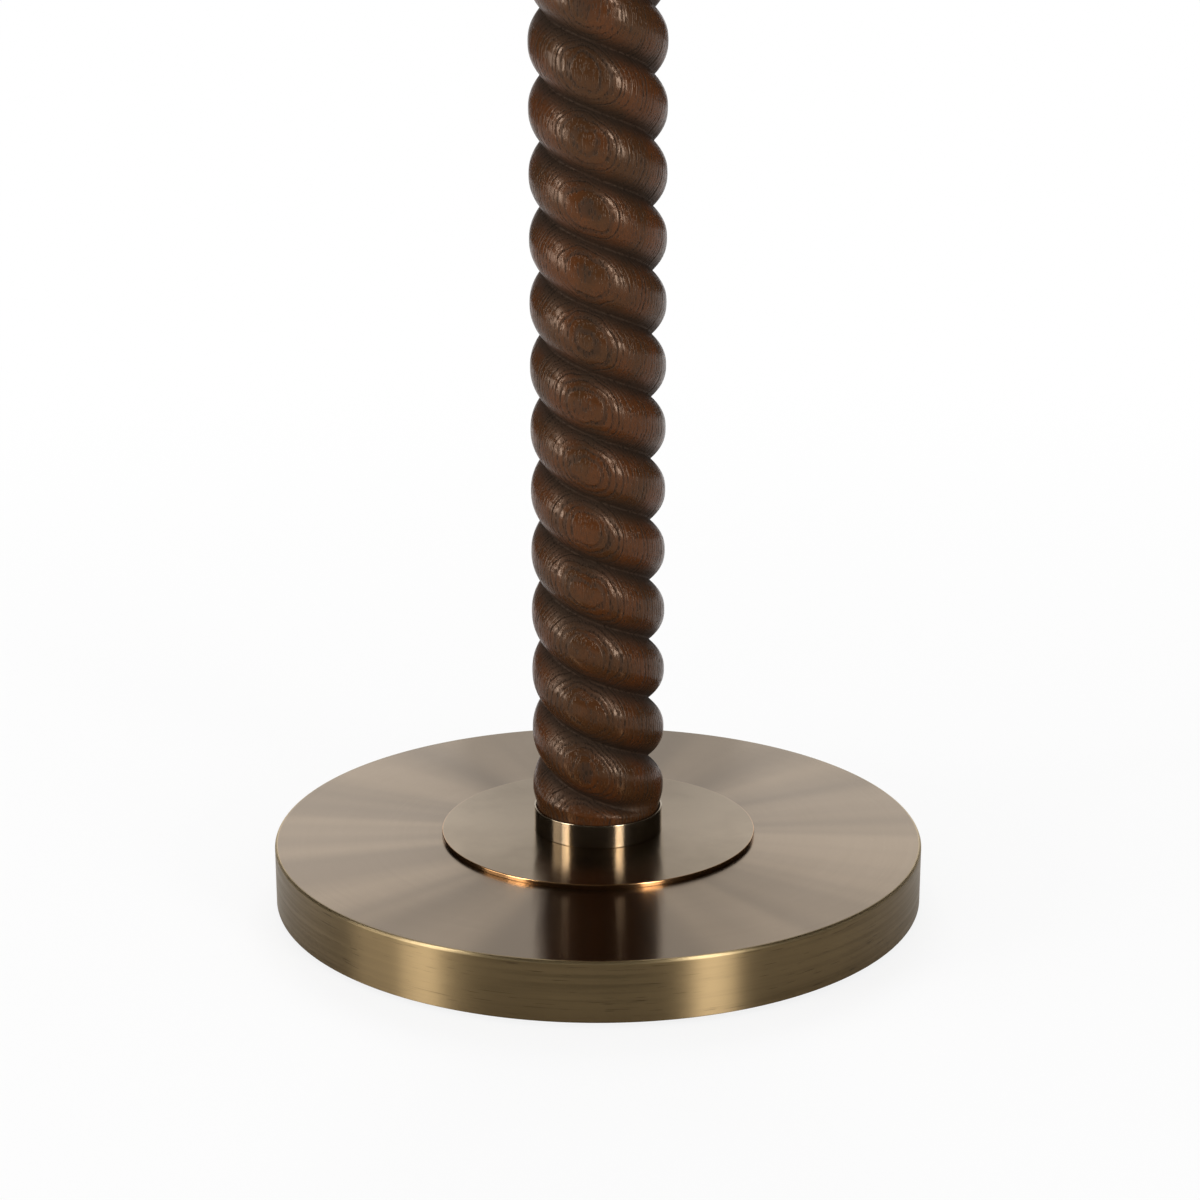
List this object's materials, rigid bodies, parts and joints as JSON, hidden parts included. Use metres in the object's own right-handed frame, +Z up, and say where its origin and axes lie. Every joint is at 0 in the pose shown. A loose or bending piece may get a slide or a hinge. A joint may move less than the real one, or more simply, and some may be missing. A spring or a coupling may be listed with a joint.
{
  "type": "floor lamp",
  "caption": "Standing lamp: a rope-turned wooden column on a weighted round brass base, with a turn-knob lampholder, a wire harp and a tapered linen drum shade.",
  "frame": {"origin": "centre of the floor pad's underside, on the lamp's axis", "axes": "+Z up along the column, -Y the front that the picture looks at and the side with the switch knob, +Y the rear with the cord outlet, +X to the right seen from the front"},
  "size_m": [0.4306, 0.4318, 1.5372],
  "materials": {
    "antique_brass": "antique bronze tone, circular brushed satin",
    "polished_brass": "antique tone, polished",
    "stained_oak": "dark brown stain, wire-brushed open grain, satin lacquer",
    "zinc_steel": "zinc plated",
    "cast_iron": "rough cast",
    "felt": "pressed felt",
    "black_plastic": "moulded",
    "fibre_board": "plain insulating board",
    "nickel": "nickel plated",
    "opal_glass": "opal white",
    "linen": "plain weave linen on a stiff backing"
  },
  "bodies": {
    "stand": {"floor_pad": "felt", "base_cover": "zinc_steel", "base_weight": "cast_iron", "base_shell": "antique_brass", "cord_bushing": "black_plastic", "cover_screw_1": "zinc_steel", "cover_screw_2": "zinc_steel", "cover_screw_3": "zinc_steel", "rod_nut": "zinc_steel", "spring_washer": "zinc_steel", "rod_washer": "zinc_steel", "threaded_rod": "zinc_steel", "foot_plate": "polished_brass", "lower_collar": "polished_brass", "rope_column": "stained_oak", "upper_collar": "polished_brass", "top_cap": "polished_brass", "neck": "polished_brass", "lock_nut": "polished_brass", "harp_saddle": "polished_brass", "harp": "polished_brass", "harp_stud": "polished_brass", "socket_cap": "polished_brass", "socket_shell": "polished_brass", "socket_liner": "fibre_board", "socket_insulator": "black_plastic", "screw_shell": "nickel", "centre_contact": "polished_brass", "live_terminal": "polished_brass", "neutral_terminal": "nickel"},
    "left_sleeve": {"harp_sleeve_left": "polished_brass"},
    "right_sleeve": {"harp_sleeve_right": "polished_brass"},
    "switch": {"switch_spindle": "zinc_steel", "switch_knob": "black_plastic"},
    "bulb": {"bulb_cap": "nickel", "bulb_glass": "opal_glass"},
    "shade": {"shade_cover": "linen", "shade_trim_top": "linen", "shade_trim_bottom": "linen", "shade_ring_top": "zinc_steel", "shade_ring_bottom": "zinc_steel", "spider_washer": "polished_brass", "spider_arm_1": "polished_brass", "spider_arm_2": "polished_brass", "spider_arm_3": "polished_brass"},
    "top_finial": {"finial": "polished_brass"}
  },
  "joints": [
    {"name": "switch_turn", "type": "hinge", "parent": "stand", "child": "switch", "pos_m": [0, -0.0277, 1.2986], "axis": [0, 1, 0], "continuous": true},
    {"name": "bulb_turn", "type": "hinge", "parent": "stand", "child": "bulb", "pos_m": [0, 0, 1.32], "axis": [0, 0, 1], "continuous": true},
    {"name": "shade_turn", "type": "hinge", "parent": "stand", "child": "shade", "pos_m": [0, 0, 1.504], "axis": [0, 0, 1], "continuous": true},
    {"name": "finial_turn", "type": "hinge", "parent": "stand", "child": "top_finial", "pos_m": [0, 0, 1.51], "axis": [0, 0, 1], "continuous": true},
    {"name": "left_sleeve_lift", "type": "slide", "parent": "stand", "child": "left_sleeve", "axis": [0, 0, 1], "range_m": [0, 0.014]},
    {"name": "right_sleeve_lift", "type": "slide", "parent": "stand", "child": "right_sleeve", "axis": [0, 0, 1], "range_m": [0, 0.014]}
  ]
}
